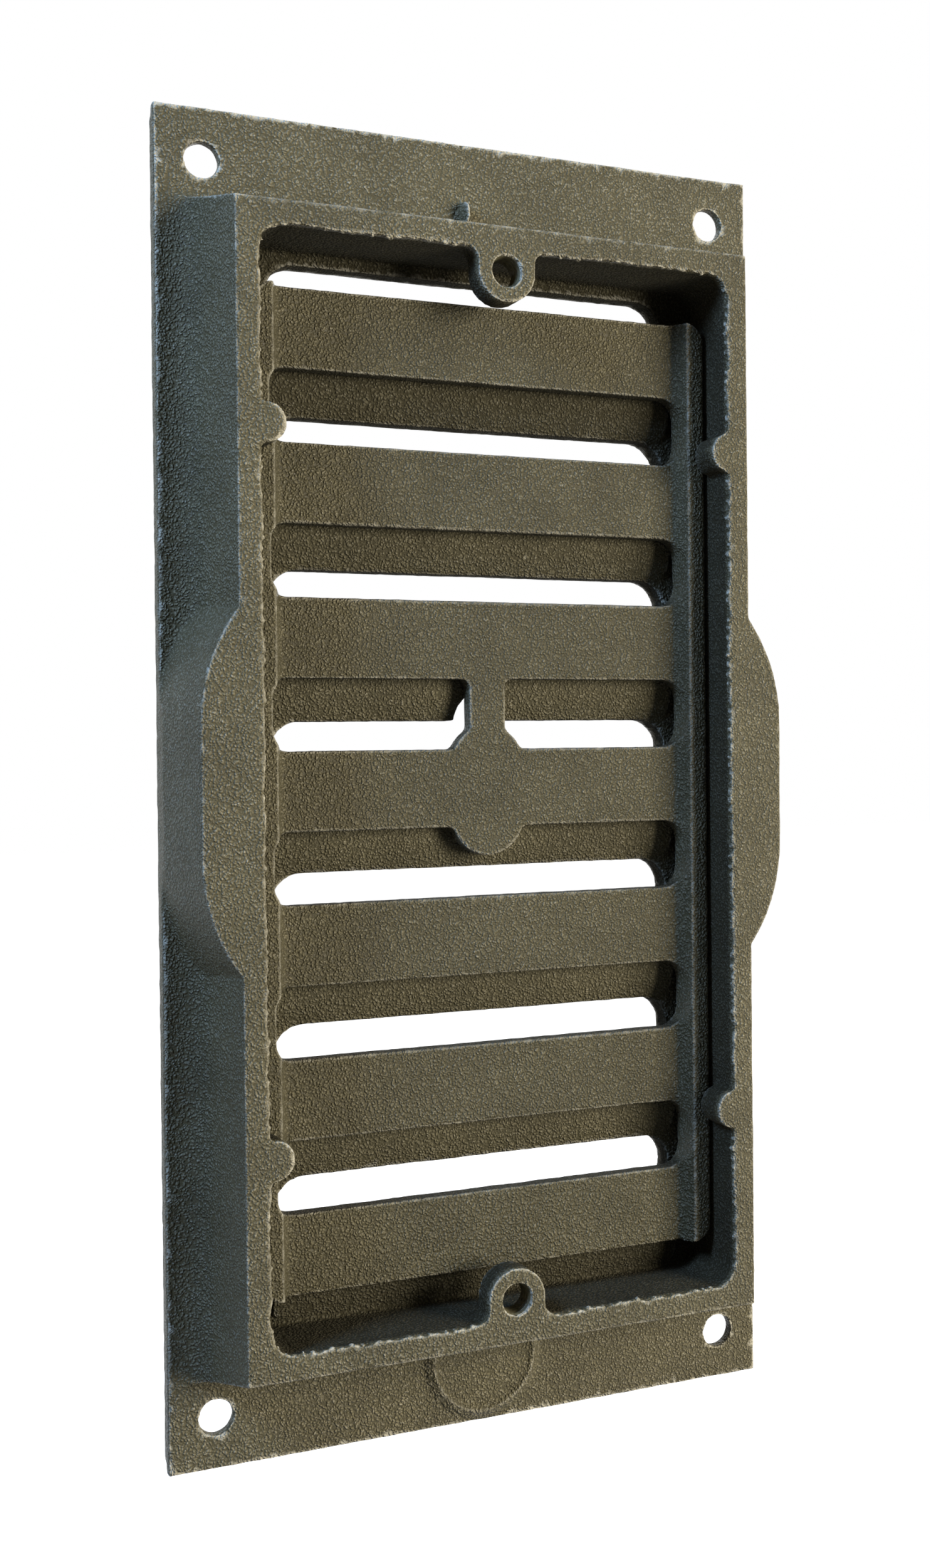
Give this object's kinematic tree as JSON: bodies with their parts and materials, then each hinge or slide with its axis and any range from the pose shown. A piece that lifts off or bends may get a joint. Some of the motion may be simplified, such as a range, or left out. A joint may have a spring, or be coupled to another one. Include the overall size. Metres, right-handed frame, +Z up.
{
  "type": "ventilation grille",
  "caption": "Cast-iron wall ventilation grille: a slotted frame with a rear collar and tapped lugs, and a sliding shutter worked by a stud that reaches through to the front.",
  "frame": {"origin": "centre of the four fixing holes, on the flange's rear face (the face that seats on the wall)", "axes": "+Z up the grille, +X across it, +Y from the room into the wall"},
  "size_m": [0.11, 0.025, 0.22],
  "materials": {
    "frame_iron": "as-cast sand texture, dark",
    "slide_iron": "as-cast sand texture, dark"
  },
  "bodies": {
    "frame": {"frame_casting": "frame_iron"},
    "slide": {"slide_casting": "slide_iron"}
  },
  "joints": [
    {"name": "slide_travel", "type": "slide", "parent": "frame", "child": "slide", "axis": [0, 0, 1], "range_m": [-0.0056, 0.0063]}
  ]
}
